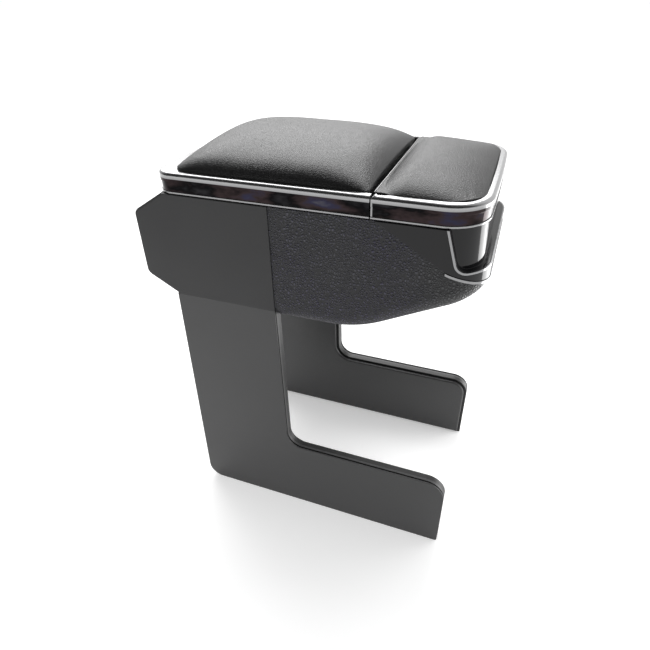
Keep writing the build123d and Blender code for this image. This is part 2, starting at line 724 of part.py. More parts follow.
# Rear hinges: a fixed leaf on the housing's slope and a lid leaf behind the band, on one pin
x_band_back = x_frame_back + BAND_INSET
x_pin = x_band_back - LEAF - KNUCKLE_GAP - KNUCKLE_RADIUS
z_pin = z_band + HINGE_RISE
z_leaf = z_band + LIP_HEIGHT + FIT
slope_plane = Plane(
    origin=(x_rear + BACK_TOP_RUN, 0, z_top),
    x_dir=(-BACK_TOP_RUN, 0, -BACK_TOP_DROP),
    z_dir=(-BACK_TOP_DROP, 0, BACK_TOP_RUN),
)
z_upstand = z_top - (x_rear + BACK_TOP_RUN - x_pin - UPSTAND) * BACK_TOP_DROP / BACK_TOP_RUN + FIT
end_width = (HINGE_WIDTH - KNUCKLE_WIDTH) / 2 - KNUCKLE_GAP
pin_bore = PIN_RADIUS + PIN_CLEARANCE
for side, sign in (("right", -1), ("left", 1)):
    y_hinge = sign * (half - HINGE_INSET)
    y_end = y_hinge + HINGE_WIDTH / 2
    with BuildPart() as fixed_leaf:
        with BuildSketch(slope_plane):
            with Locations((LEAF_START, -y_hinge)):
                Rectangle(LEAF_LENGTH, HINGE_WIDTH, align=(Align.MIN, Align.CENTER))
        extrude(amount=LEAF)
        for y_high in (y_end, y_hinge - HINGE_WIDTH / 2 + end_width):
            with BuildSketch(Plane.XZ.offset(-y_high)):
                with Locations((x_pin, z_pin)):
                    Circle(KNUCKLE_RADIUS)
                with Locations((x_pin, z_upstand)):
                    Rectangle(2 * UPSTAND, z_pin - z_upstand, align=(Align.CENTER, Align.MIN))
            extrude(amount=end_width)
        with BuildSketch(Plane.XZ.offset(-y_end)):
            with Locations((x_pin, z_pin)):
                Circle(pin_bore)
        extrude(amount=HINGE_WIDTH, mode=Mode.SUBTRACT)
    with BuildPart() as lid_leaf:
        with BuildSketch(Plane.XZ.offset(-y_end)):
            with Locations((x_band_back, z_leaf)):
                Rectangle(LEAF, z_bead - FIT - z_leaf, align=(Align.MAX, Align.MIN))
        extrude(amount=HINGE_WIDTH)
        with BuildSketch(Plane.XZ.offset(-y_hinge - KNUCKLE_WIDTH / 2)):
            with Locations((x_pin, z_pin)):
                Circle(KNUCKLE_RADIUS)
                Rectangle(x_band_back - x_pin, 2 * UPSTAND, align=(Align.MIN, Align.CENTER))
        extrude(amount=KNUCKLE_WIDTH)
        with BuildSketch(Plane.XZ.offset(-y_end)):
            with Locations((x_pin, z_pin)):
                Circle(pin_bore)
        extrude(amount=HINGE_WIDTH, mode=Mode.SUBTRACT)
    with BuildPart() as hinge_pin:
        with BuildSketch(Plane.XZ.offset(-y_end)):
            with Locations((x_pin, z_pin)):
                Circle(PIN_RADIUS)
        extrude(amount=HINGE_WIDTH)
    write(fixed_leaf.part, side + "_fixed_leaf")
    write(lid_leaf.part, side + "_lid_leaf")
    write(hinge_pin.part, side + "_hinge_pin")

# Screws and buffers
with BuildPart() as leg_screws:
    with BuildSketch(Plane.XY.offset(z_floor)):
        with Locations(*leg_screws_all):
            Circle(SCREW_HEAD_RADIUS)
    extrude(amount=SCREW_HEAD)
    with BuildSketch(Plane.XY.offset(z_floor)):
        with Locations(*leg_screws_all):
            Circle(SCREW_RADIUS)
    extrude(amount=-SCREW_LENGTH)
write(leg_screws.part, "leg_screws")

with BuildPart() as hull_screws:
    with BuildSketch(Plane.XY.offset(z_tongue)):
        with Locations(*tongue_screw_places):
            Circle(SCREW_HEAD_RADIUS)
    extrude(amount=SCREW_HEAD)
    with BuildSketch(Plane.XY.offset(z_tongue)):
        with Locations(*tongue_screw_places):
            Circle(SCREW_RADIUS)
    extrude(amount=-(HULL_WALL + HOUSING_WALL))
write(hull_screws.part, "hull_screws")

y_buffer = (half_flange + half_bin) / 2
buffer_places = [
    (x, sign * y_buffer)
    for x in (x_flange_back + BUFFER_RUN, x_joint - BUFFER_RUN, x_tray_middle)
    for sign in (1, -1)
]
with BuildPart() as lid_buffers:
    with BuildSketch(Plane.XY.offset(z_top)):
        with Locations(*buffer_places):
            Circle(BUFFER_RADIUS)
    extrude(amount=z_panel - z_top - BUFFER_GAP)
write(lid_buffers.part, "lid_buffers")
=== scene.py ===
"""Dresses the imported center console: finishes for its mouldings and lid frames, and its two leather pads."""
import math

import bmesh
import bpy
from mathutils import Matrix, Vector


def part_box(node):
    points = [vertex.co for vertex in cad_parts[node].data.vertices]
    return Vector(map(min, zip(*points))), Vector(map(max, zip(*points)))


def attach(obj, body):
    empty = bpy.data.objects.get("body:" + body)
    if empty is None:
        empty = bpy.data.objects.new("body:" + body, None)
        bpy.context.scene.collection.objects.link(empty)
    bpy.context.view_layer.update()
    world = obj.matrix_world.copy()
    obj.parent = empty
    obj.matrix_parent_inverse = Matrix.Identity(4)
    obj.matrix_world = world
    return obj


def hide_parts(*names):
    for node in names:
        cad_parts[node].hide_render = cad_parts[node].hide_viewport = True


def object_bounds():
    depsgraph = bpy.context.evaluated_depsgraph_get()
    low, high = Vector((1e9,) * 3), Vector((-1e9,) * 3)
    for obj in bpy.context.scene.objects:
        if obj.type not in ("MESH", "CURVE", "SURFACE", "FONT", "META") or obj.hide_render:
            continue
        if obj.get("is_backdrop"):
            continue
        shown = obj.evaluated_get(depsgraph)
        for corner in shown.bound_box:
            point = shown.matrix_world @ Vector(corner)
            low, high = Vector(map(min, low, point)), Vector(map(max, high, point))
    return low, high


bl_info = {
    "name": "Center Console Dressing",
    "version": (1, 0, 0),
    "blender": (4, 5, 0),
    "location": "View3D > Sidebar > Console",
    "description": "Finishes, pads and studio for a center console",
    "category": "Object",
}

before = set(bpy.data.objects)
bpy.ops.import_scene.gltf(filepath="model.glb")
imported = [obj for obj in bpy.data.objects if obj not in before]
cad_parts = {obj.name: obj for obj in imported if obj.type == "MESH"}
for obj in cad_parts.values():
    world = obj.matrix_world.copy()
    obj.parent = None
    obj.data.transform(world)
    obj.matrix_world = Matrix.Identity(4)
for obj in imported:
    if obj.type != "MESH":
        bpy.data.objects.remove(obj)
cad_low, cad_high = (list(corner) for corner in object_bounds())
rear_pad_low, rear_pad_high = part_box("rear_pad")
front_pad_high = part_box("front_pad")[1]
front_frame_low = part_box("front_lid_frame")[0]
rear_frame_low, rear_frame_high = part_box("rear_lid_frame")
leg_face = -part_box("right_leg_shell")[0].y
cover_face = -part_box("right_leg_cover")[1].y
MM = 0.001

# Legs: distances from the middle plane at which the painted shade and painted highlight change, and how much
# lighter the covers are painted as a sheen
SIDE_LOW = leg_face - 15 * MM
SIDE_HIGH = leg_face + 1 * MM
# The shell's edge beside the cover and its groove are painted near black: painted shade.
STEP_SHADE_SIDE = leg_face - 4.4 * MM
GROOVE_SHADE_INNER = leg_face - 2.25 * MM
GROOVE_SHADE_OUTER = leg_face - 0.95 * MM
# Covers: their rounded edge is lighter than their face as a painted highlight, and their colour is lifted as a
# painted sheen.
COVER_HIGHLIGHT_EDGE = cover_face + 0.35 * MM
COVER_SHEEN_LIFT = 1.7

# Lid frames: heights of the bead, the band and the lip, and the split edge
BEAD_TOP = rear_frame_high.z
# Below this line the bead's lower side takes the band's dark colour: a painted reflection.
BEAD_REFLECTION_LINE = BEAD_TOP - 4.2 * MM
LIP_TOP = rear_frame_low.z + 1.1 * MM
EDGE_WIDTH = 1.1 * MM
EDGE_RADIUS = 0.52 * MM
EDGE_TAPER = 1.2 * MM
EDGE_END = 0.35
EDGE_STEPS = 24
EDGE_SIDES = 12

# Band: places on its colour ramp, and shares of its colour, of the dark, brown and blue patches of painted
# reflection
BAND_REFLECTIONS = ((0.42, (0.25, 0.25, 0.25)), (0.55, (1.5, 1.1, 1.05)), (0.66, (1.3, 1.3, 2.2)))

# Pads: where they stand, where their crowns begin, peak and end, and their rear and front corner radii
PAD_HALF = rear_pad_high.y
PAD_FOOT = rear_pad_low.z + 0.3 * MM
PAD_BASE = BEAD_TOP - 1.1 * MM
REAR_START = rear_pad_low.x - 0.8 * MM
REAR_PEAK = rear_pad_low.x + 63.2 * MM
REAR_END = rear_pad_high.x + 1.5 * MM
REAR_CORNERS = (11 * MM, 4 * MM)
FRONT_EDGE = front_frame_low.x + EDGE_WIDTH
FRONT_START = FRONT_EDGE - 0.2 * MM
FRONT_PEAK = front_frame_low.x + 18.1 * MM
FRONT_END = front_pad_high.x + 0.1 * MM
FRONT_CORNERS = (2 * MM, 22.6 * MM)
OUTLINE_STEP = 1 * MM
REAR_CELLS = 64
FRONT_CELLS = 56

# Pads: share of the rear crown in its rolled edges, and shares of the swell that the filling should add
ROLL_SHARE = 0.47
REAR_FILL = 0.7
FRONT_FILL = 0.5
FILL_FRAMES = 20

# Front pad's shelf over the frame at the split: its end, its gap, its rise above the bead and its fall
SHELF_END = front_frame_low.x + 4.9 * MM
SHELF_GAP = 0.15 * MM
SHELF_RISE = 1.0 * MM
SHELF_DROP = 2.1 * MM
SHELF_FALL = 9 * MM

# Stage: the studio floor and the levels of the pale room
FLOOR_REACH = 30.0
FLOOR_DROP = 0.2 * MM
FLOOR_GLOW = 0.3
SOFT_LEVEL = 0.8


# Settings

class ShellFinish(bpy.types.PropertyGroup):
    """Colours of the moulded legs, housing, hull and liners."""

    leg: bpy.props.FloatVectorProperty(
        name="Leg colour", description="Plastic of the legs",
        subtype="COLOR", default=(0.05, 0.05, 0.051))
    housing: bpy.props.FloatVectorProperty(
        name="Housing colour", description="Plastic of the rear housing",
        subtype="COLOR", default=(0.021, 0.021, 0.022))
    hull: bpy.props.FloatVectorProperty(
        name="Hull colour", description="Grained plastic of the hull",
        subtype="COLOR", default=(0.058, 0.06, 0.063))
    # The hull's violet patches are a painted sheen.
    hull_sheen: bpy.props.FloatVectorProperty(
        name="Hull cast", description="Violet cast of the hull in slow patches",
        subtype="COLOR", default=(0.038, 0.033, 0.074))
    liner: bpy.props.FloatVectorProperty(
        name="Liner colour", description="Plastic of the bin, tray and lid panels",
        subtype="COLOR", default=(0.03, 0.03, 0.03))
    mat: bpy.props.FloatVectorProperty(
        name="Mat colour", description="Flocked mats",
        subtype="COLOR", default=(0.022, 0.022, 0.024))
    buffer: bpy.props.FloatVectorProperty(
        name="Buffer colour", description="Rubber buffers under the lids",
        subtype="COLOR", default=(0.02, 0.02, 0.02))


class BrightFinish(bpy.types.PropertyGroup):
    """Colours of the plated frames and trims, of the polished fascia and of the steel pieces."""

    bead: bpy.props.FloatVectorProperty(
        name="Bead colour", description="Plated bead round the lids",
        subtype="COLOR", default=(0.42, 0.42, 0.425))
    trim: bpy.props.FloatVectorProperty(
        name="Trim colour", description="Plated lines of the nose and the split",
        subtype="COLOR", default=(0.3, 0.3, 0.305))
    band: bpy.props.FloatVectorProperty(
        name="Band colour", description="Smoked band under the bead",
        subtype="COLOR", default=(0.02, 0.0195, 0.021))
    fascia: bpy.props.FloatVectorProperty(
        name="Fascia colour", description="Polished plastic of the nose",
        subtype="COLOR", default=(0.008, 0.008, 0.009))
    steel: bpy.props.FloatVectorProperty(
        name="Steel colour", description="Screws, leaves, pins and rod",
        subtype="COLOR", default=(0.42, 0.42, 0.43))


class PadShape(bpy.types.PropertyGroup):
    """Form and leather of the two lid pads."""

    rear_crown: bpy.props.FloatProperty(
        name="Rear crown", description="Rise of the filled rear pad from its edge",
        unit="LENGTH", default=0.0213)
    front_crown: bpy.props.FloatProperty(
        name="Front crown", description="Rise of the filled front pad from its edge",
        unit="LENGTH", default=0.0112)
    swell: bpy.props.FloatProperty(
        name="Swell", description="Most that the filling may push the leather out",
        unit="LENGTH", default=0.0016)
    pressure: bpy.props.FloatProperty(
        name="Filling pressure", description="Pressure of the foam under the leather",
        subtype="UNSIGNED", default=4.0)
    leather: bpy.props.FloatVectorProperty(
        name="Leather colour", description="Leather of the pads",
        subtype="COLOR", default=(0.009, 0.009, 0.0095))


class StageLook(bpy.types.PropertyGroup):
    """Camera, floor and studio lights."""

    camera_place: bpy.props.FloatVectorProperty(
        name="Camera place", description="Where the camera stands",
        subtype="XYZ", unit="LENGTH", default=(0.13275, -0.3665, 0.4204))
    azimuth: bpy.props.FloatProperty(
        name="Azimuth", description="Turn of the camera from the +Y direction",
        subtype="ANGLE", default=math.radians(20.86))
    elevation: bpy.props.FloatProperty(
        name="Elevation", description="Tilt of the camera below level",
        subtype="ANGLE", default=math.radians(34.06))
    roll: bpy.props.FloatProperty(
        name="Roll", description="Roll of the camera",
        subtype="ANGLE", default=math.radians(0.98))
    focal: bpy.props.FloatProperty(
        name="Focal length", description="Focal length on a 36 mm sensor",
        unit="CAMERA", default=28.756)
    floor: bpy.props.FloatVectorProperty(
        name="Floor colour", description="Pale floor",
        subtype="COLOR", default=(0.9, 0.9, 0.9))
    back_power: bpy.props.FloatProperty(
        name="Back box power", description="Power of the large soft box behind the console",
        unit="POWER", default=25.0)
    card_power: bpy.props.FloatProperty(
        name="Front card power", description="Power of the small card before the nose",
        unit="POWER", default=0.8)


class ConsoleSettings(bpy.types.PropertyGroup):
    """All the values a user would change."""

    shell: bpy.props.PointerProperty(type=ShellFinish, name="Shell", description="Moulded pieces")
    bright: bpy.props.PointerProperty(type=BrightFinish, name="Bright", description="Plated and polished")
    pads: bpy.props.PointerProperty(type=PadShape, name="Pads", description="Lid pads")
    stage: bpy.props.PointerProperty(type=StageLook, name="Stage", description="Camera and studio")


# Node helpers

def put(tree, kind, **values):
    """New node with input values given by socket name, spaces written as underscores."""
    node = tree.nodes.new(kind)
    for key, value in values.items():
        label = key.replace("_", " ")
        if label in node.inputs:
            node.inputs[label].default_value = value
        else:
            setattr(node, key, value)
    return node


def wire(tree, *pairs):
    """Links each pair of output and input sockets."""
    for source, target in pairs:
        tree.links.new(source, target)


def largest(tree, *sources):
    """Largest of some values, by a chain of maximum nodes."""
    total = sources[0]
    for source in sources[1:]:
        node = put(tree, "ShaderNodeMath", operation="MAXIMUM")
        wire(tree, (total, node.inputs[0]), (source, node.inputs[1]))
        total = node.outputs["Value"]
    return total


def new_group(name, inputs, outputs):
    """Shader node group with float or vector sockets, and its input and output nodes."""
    tree = bpy.data.node_groups.new(name, "ShaderNodeTree")
    for label, kind, value in inputs:
        socket = tree.interface.new_socket(label, in_out="INPUT", socket_type=kind)
        if value is not None:
            socket.default_value = value
    for label, kind in outputs:
        tree.interface.new_socket(label, in_out="OUTPUT", socket_type=kind)
    return tree, tree.nodes.new("NodeGroupInput"), tree.nodes.new("NodeGroupOutput")


def place_group(tree, name, coords, **values):
    """A node group placed in a material, on its coordinates and with its own values."""
    node = tree.nodes.new("ShaderNodeGroup")
    node.node_tree = bpy.data.node_groups[name]
    for key, value in values.items():
        node.inputs[key].default_value = value
    wire(tree, (coords, node.inputs["Vector"]))
    return node


def new_finish(name):
    """Material with a Principled BSDF, its tree, its shader and object coordinates."""
    material = bpy.data.materials.new(name)
    material.use_nodes = True
    tree = material.node_tree
    shader = tree.nodes["Principled BSDF"]
    coords = tree.nodes.new("ShaderNodeTexCoord").outputs["Object"]
    return material, tree, shader, coords


def times(colour, share):
    """Opaque colour scaled by a share."""
    return (*[c * share for c in colour], 1)


def tint(tree, shader, colour, darker, factor):
    """Base colour between the colour and a darker copy, by a factor socket."""
    mix = put(tree, "ShaderNodeMix", data_type="RGBA")
    mix.inputs["A"].default_value = times(colour, darker)
    mix.inputs["B"].default_value = times(colour, 1)
    wire(tree, (factor, mix.inputs["Factor"]), (mix.outputs["Result"], shader.inputs["Base Color"]))
    return mix


def spread(tree, factor, low, high, target):
    """Sends a 0 to 1 value to a socket as a range of values."""
    span = put(tree, "ShaderNodeMapRange", To_Min=low, To_Max=high)
    wire(tree, (factor, span.inputs["Value"]), (span.outputs["Result"], target))


def relief(tree, shader, height, depth, strength, soften=0.0):
    """Bump from a height value in 0 to 1, over edges softened by a small radius."""
    bump = put(tree, "ShaderNodeBump", Strength=strength, Distance=depth)
    wire(tree, (height, bump.inputs["Height"]), (bump.outputs["Normal"], shader.inputs["Normal"]))
    if soften:
        bevel = put(tree, "ShaderNodeBevel", Radius=soften)
        bevel.samples = 4
        wire(tree, (bevel.outputs["Normal"], bump.inputs["Normal"]))


def paint(material, *nodes):
    """Gives CAD nodes one material."""
    for name in nodes:
        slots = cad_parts[name].data.materials
        slots.clear()
        slots.append(material)


# Shared effects

def make_moulded_grain():
    """Fine spark-eroded grain of moulded plastic, with slow patches of shade."""
    tree, given, result = new_group(
        "Moulded Grain",
        [
            ("Vector", "NodeSocketVector", None),
            ("Scale", "NodeSocketFloat", 1200.0),
            ("Patch", "NodeSocketFloat", 14.0),
        ],
        [("Height", "NodeSocketFloat"), ("Shade", "NodeSocketFloat"), ("Gloss", "NodeSocketFloat")],
    )
    fine = put(tree, "ShaderNodeTexNoise", Detail=3.0, Roughness=0.6)
    coarse = put(tree, "ShaderNodeTexNoise", Detail=2.0, Roughness=0.5)
    total = put(tree, "ShaderNodeMix")
    total.inputs["Factor"].default_value = 0.45
    wire(
        tree,
        (given.outputs["Vector"], fine.inputs["Vector"]),
        (given.outputs["Scale"], fine.inputs["Scale"]),
        (given.outputs["Vector"], coarse.inputs["Vector"]),
        (given.outputs["Patch"], coarse.inputs["Scale"]),
        (fine.outputs["Fac"], result.inputs["Height"]),
        (coarse.outputs["Fac"], total.inputs["A"]),
        (fine.outputs["Fac"], total.inputs["B"]),
        (total.outputs["Result"], result.inputs["Shade"]),
        (coarse.outputs["Fac"], result.inputs["Gloss"]),
    )


def make_leather_grain():
    """Pebbled leather grain: rounded cells with creases between them, lighter on the cell tops and darker in
    the creases as painted highlight and painted shade.
    """
    tree, given, result = new_group(
        "Leather Grain",
        [
            ("Vector", "NodeSocketVector", None),
            ("Scale", "NodeSocketFloat", 700.0),
            ("Crease", "NodeSocketFloat", 0.35),
        ],
        [("Height", "NodeSocketFloat"), ("Shade", "NodeSocketFloat")],
    )
    bend = put(tree, "ShaderNodeTexNoise", Scale=220.0, Detail=2.0)
    push = put(tree, "ShaderNodeVectorMath", operation="MULTIPLY_ADD")
    push.inputs[1].default_value = (1.2 * MM, 1.2 * MM, 1.2 * MM)
    cells = put(tree, "ShaderNodeTexVoronoi", feature="DISTANCE_TO_EDGE")
    top = put(tree, "ShaderNodeMapRange", To_Min=0.0, To_Max=1.0)
    top.interpolation_type = "SMOOTHSTEP"
    slow = put(tree, "ShaderNodeTexNoise", Scale=24.0, Detail=3.0)
    total = put(tree, "ShaderNodeMath", operation="MULTIPLY")
    lift = put(tree, "ShaderNodeMapRange", To_Min=0.55, To_Max=1.0)
    wire(
        tree,
        (given.outputs["Vector"], bend.inputs["Vector"]),
        (bend.outputs["Color"], push.inputs[0]),
        (given.outputs["Vector"], push.inputs[2]),
        (push.outputs["Vector"], cells.inputs["Vector"]),
        (given.outputs["Scale"], cells.inputs["Scale"]),
        (cells.outputs["Distance"], top.inputs["Value"]),
        (given.outputs["Crease"], top.inputs["From Max"]),
        (top.outputs["Result"], result.inputs["Height"]),
        (given.outputs["Vector"], slow.inputs["Vector"]),
        (slow.outputs["Fac"], lift.inputs["Value"]),
        (lift.outputs["Result"], total.inputs[0]),
        (top.outputs["Result"], total.inputs[1]),
        (total.outputs["Value"], result.inputs["Shade"]),
    )


def paint_light_by_side(tree, shader, coords, colour, levels):
    """Paints shade and highlight on a leg by its distance from the middle plane, with a new level from each
    given place on.
    """
    part = put(tree, "ShaderNodeSeparateXYZ")
    side = put(tree, "ShaderNodeMath", operation="ABSOLUTE")
    span = put(tree, "ShaderNodeMapRange", From_Min=SIDE_LOW, From_Max=SIDE_HIGH)
    ramp = put(tree, "ShaderNodeValToRGB")
    ramp.color_ramp.interpolation = "CONSTANT"
    ramp.color_ramp.elements[0].color = times((levels[0][1],) * 3, 1)
    for place, level in levels[1:]:
        stop = ramp.color_ramp.elements.new((place - SIDE_LOW) / (SIDE_HIGH - SIDE_LOW))
        stop.color = times((level,) * 3, 1)
    dark = put(tree, "ShaderNodeMix", data_type="RGBA", blend_type="MULTIPLY")
    dark.inputs["Factor"].default_value = 1.0
    wire(
        tree,
        (coords, part.inputs["Vector"]),
        (part.outputs["Y"], side.inputs[0]),
        (side.outputs["Value"], span.inputs["Value"]),
        (span.outputs["Result"], ramp.inputs["Fac"]),
        (colour, dark.inputs["A"]),
        (ramp.outputs["Color"], dark.inputs["B"]),
        (dark.outputs["Result"], shader.inputs["Base Color"]),
    )


def moulded(name, colour, scale, depth, rough, patch=14.0, strength=0.6, soften=0.8 * MM,
            deepest=0.72, specular=0.5, metallic=0.0, sides=None):
    """Plastic, rubber or metal with fine grain, and with levels of painted shade and highlight by side where
    they are given.
    """
    material, tree, shader, coords = new_finish(name)
    grain = place_group(tree, "Moulded Grain", coords, Scale=scale, Patch=patch)
    mix = tint(tree, shader, colour, deepest, grain.outputs["Shade"])
    if sides:
        paint_light_by_side(tree, shader, coords, mix.outputs["Result"], sides)
    spread(tree, grain.outputs["Gloss"], *rough, shader.inputs["Roughness"])
    relief(tree, shader, grain.outputs["Height"], depth, strength, soften)
    shader.inputs["Specular IOR Level"].default_value = specular
    shader.inputs["Metallic"].default_value = metallic
    return material


def leather(name, colour, scale, crease, depth, rough, crease_painted_shade=0.55, sheen=None):
    """Leather or leather-grained skin, painted darker in the creases of its grain as shade, with a second
    colour in slow patches as a painted sheen where one is given.
    """
    material, tree, shader, coords = new_finish(name)
    grain = place_group(tree, "Leather Grain", coords, Scale=scale, Crease=crease)
    mix = tint(tree, shader, colour, crease_painted_shade, grain.outputs["Shade"])
    if sheen:
        # Slow patches of the second colour: a painted sheen.
        slow = put(tree, "ShaderNodeTexNoise", Scale=15.0, Detail=1.0)
        reach = put(tree, "ShaderNodeMapRange", From_Min=0.38, From_Max=0.62)
        patch = put(tree, "ShaderNodeMix", data_type="RGBA")
        patch.inputs["A"].default_value = times(colour, 1)
        patch.inputs["B"].default_value = times(sheen, 1)
        wire(
            tree,
            (coords, slow.inputs["Vector"]),
            (slow.outputs["Fac"], reach.inputs["Value"]),
            (reach.outputs["Result"], patch.inputs["Factor"]),
            (patch.outputs["Result"], mix.inputs["B"]),
        )
    smooth, dull = rough
    spread(tree, grain.outputs["Shade"], dull, smooth, shader.inputs["Roughness"])
    relief(tree, shader, grain.outputs["Height"], depth, 0.7)
    return material


# Pieces

class DressLegs(bpy.types.Operator):
    """Give the leg shells and covers their fine matte grain, with painted shade in the shells' grooves and
    beside the covers, and a painted sheen and edge highlight on the covers
    """

    bl_idname = "console.dress_legs"
    bl_label = "Dress Legs"

    def execute(self, context):
        colour = tuple(context.scene.console.shell.leg)
        make_moulded_grain()
        make_leather_grain()
        # Shell: near black in its groove and on its edge beside the cover, as painted shade.
        shell = moulded(
            "leg_plastic", colour, scale=1500.0, depth=0.12 * MM, rough=(0.42, 0.55),
            sides=((SIDE_LOW, 0.1), (STEP_SHADE_SIDE, 1.0), (GROOVE_SHADE_INNER, 0.1), (GROOVE_SHADE_OUTER, 1.0)))
        paint(shell, "right_leg_shell", "left_leg_shell")
        # Cover: lighter than the shell with broad mottled patches, a painted sheen, and lighter on its rounded
        # edge, a painted highlight.
        cover = moulded(
            "cover_plastic", tuple(c * COVER_SHEEN_LIFT for c in colour), scale=1500.0, depth=0.1 * MM,
            rough=(0.22, 0.52), soften=1.2 * MM, deepest=0.3, sides=((SIDE_LOW, 0.72), (COVER_HIGHLIGHT_EDGE, 1.0)))
        paint(cover, "right_leg_cover", "left_leg_cover")
        return {"FINISHED"}


class DressBody(bpy.types.Operator):
    """Give the housing its smooth finish and the hull its leather grain, with painted shade in the grain's
    creases and a painted violet sheen in slow patches
    """

    bl_idname = "console.dress_body"
    bl_label = "Dress Body"

    def execute(self, context):
        values = context.scene.console.shell
        shell = moulded(
            "housing_plastic", tuple(values.housing), scale=900.0, depth=0.1 * MM, rough=(0.45, 0.6))
        paint(shell, "rear_housing")
        # Hull: creases of the grain painted much darker and cell tops lighter, as painted shade and highlight.
        skin = leather(
            "hull_grain", tuple(values.hull), scale=500.0, crease=0.45, depth=0.9 * MM, rough=(0.26, 0.6),
            # Violet patches on the hull: a painted sheen.
            crease_painted_shade=0.2, sheen=tuple(values.hull_sheen))
        paint(skin, "front_hull")
        return {"FINISHED"}


class DressNose(bpy.types.Operator):
    """Polish the fascia and plate its trims"""

    bl_idname = "console.dress_nose"
    bl_label = "Dress Nose"

    def execute(self, context):
        values = context.scene.console.bright
        gloss = moulded(
            "gloss_black", tuple(values.fascia), scale=60.0, patch=9.0, depth=0.04 * MM, rough=(0.05, 0.1),
            strength=0.15, soften=0.6 * MM, deepest=0.7, specular=0.3)
        paint(gloss, "front_fascia")
        plated = moulded(
            "plated_trim", tuple(values.trim), scale=300.0, patch=30.0, depth=0.02 * MM, rough=(0.1, 0.22),
            strength=0.2, soften=0.3 * MM, deepest=0.8, metallic=1.0)
        paint(plated, "scoop_trim", "lower_trim")
        return {"FINISHED"}


class DressLidFrames(bpy.types.Operator):
    """Plate the lid frames: bright bead and lip, smoked mirror band between them, with painted reflections on
    the band and a painted reflection darkening the bead low down
    """

    bl_idname = "console.dress_lid_frames"
    bl_label = "Dress Lid Frames"

    def band_mask(self, tree, part, band_start):
        """1 on the band and on the bead's lower side, between the lip and a line on the bead and ahead of a
        place, and 0 elsewhere.
        """
        low = put(tree, "ShaderNodeMapRange", From_Min=LIP_TOP, From_Max=LIP_TOP + 0.3 * MM)
        high = put(tree, "ShaderNodeMapRange", From_Min=BEAD_REFLECTION_LINE + 0.2 * MM, From_Max=BEAD_REFLECTION_LINE - 0.1 * MM)
        ahead = put(
            tree, "ShaderNodeMapRange", From_Min=band_start - 0.2 * MM, From_Max=band_start + 0.2 * MM)
        level = put(tree, "ShaderNodeMath", operation="MULTIPLY")
        band = put(tree, "ShaderNodeMath", operation="MULTIPLY")
        wire(
            tree,
            (part.outputs["Z"], low.inputs["Value"]),
            (part.outputs["Z"], high.inputs["Value"]),
            (part.outputs["X"], ahead.inputs["Value"]),
            (low.outputs["Result"], level.inputs[0]),
            (high.outputs["Result"], level.inputs[1]),
            (level.outputs["Value"], band.inputs[0]),
            (ahead.outputs["Result"], band.inputs[1]),
        )
        return band.outputs["Value"]

    def painted_band_reflections(self, tree, coords, colour):
        """Smoked mirror with painted reflections: soft dark, brown and blue patches stretched along the band.
        """
        reflection_streak = put(tree, "ShaderNodeMapping")
        reflection_streak.inputs["Scale"].default_value = (0.45, 0.45, 1.1)
        blur = put(tree, "ShaderNodeTexNoise", Scale=75.0, Detail=4.0, Roughness=0.55)
        ramp = put(tree, "ShaderNodeValToRGB")
        first, last = ramp.color_ramp.elements
        first.position = 0.3
        first.color = times(colour, 1)
        last.position = 0.8
        last.color = times(colour, 4.0)
        for place, share in BAND_REFLECTIONS:
            stop = ramp.color_ramp.elements.new(place)
            stop.color = (*[c * s for c, s in zip(colour, share)], 1)
        wire(
            tree,
            (coords, reflection_streak.inputs["Vector"]),
            (reflection_streak.outputs["Vector"], blur.inputs["Vector"]),
            (blur.outputs["Fac"], ramp.inputs["Fac"]),
        )
        return ramp.outputs["Color"]

    def bead_painted_reflection(self, tree, part, colour):
        """Plating that is a little darker low on the bead: a painted reflection of darker surroundings."""
        rise = put(tree, "ShaderNodeMapRange", From_Min=BEAD_REFLECTION_LINE + 0.8 * MM, From_Max=BEAD_REFLECTION_LINE + 2.6 * MM)
        bead = put(tree, "ShaderNodeMix", data_type="RGBA")
        bead.inputs["A"].default_value = times(colour, 0.7)
        bead.inputs["B"].default_value = times(colour, 1)
        wire(
            tree,
            (part.outputs["Z"], rise.inputs["Value"]),
            (rise.outputs["Result"], bead.inputs["Factor"]),
        )
        return bead.outputs["Result"]

    def plating(self, values, name, band_start):
        """Plated finish by height on the frame, with the band plated bright behind a place."""
        material, tree, shader, coords = new_finish(name)
        part = put(tree, "ShaderNodeSeparateXYZ")
        wire(tree, (coords, part.inputs["Vector"]))
        band = self.band_mask(tree, part, band_start)
        mix = put(tree, "ShaderNodeMix", data_type="RGBA")
        wire(
            tree,
            (self.bead_painted_reflection(tree, part, values.bead), mix.inputs["A"]),
            (self.painted_band_reflections(tree, coords, values.band), mix.inputs["B"]),
            (band, mix.inputs["Factor"]),
            (mix.outputs["Result"], shader.inputs["Base Color"]),
        )
        spread(tree, band, 0.2, 0.07, shader.inputs["Roughness"])
        grain = place_group(tree, "Moulded Grain", coords, Scale=260.0)
        relief(tree, shader, grain.outputs["Height"], 0.02 * MM, 0.2, 0.4 * MM)
        shader.inputs["Metallic"].default_value = 1.0
        return material

    def execute(self, context):
        values = context.scene.console.bright
        paint(self.plating(values, "rear_frame_plating", rear_frame_low.x - 10 * MM), "rear_lid_frame")
        paint(self.plating(values, "front_frame_plating", FRONT_EDGE), "front_lid_frame")
        return {"FINISHED"}


# Pad forms

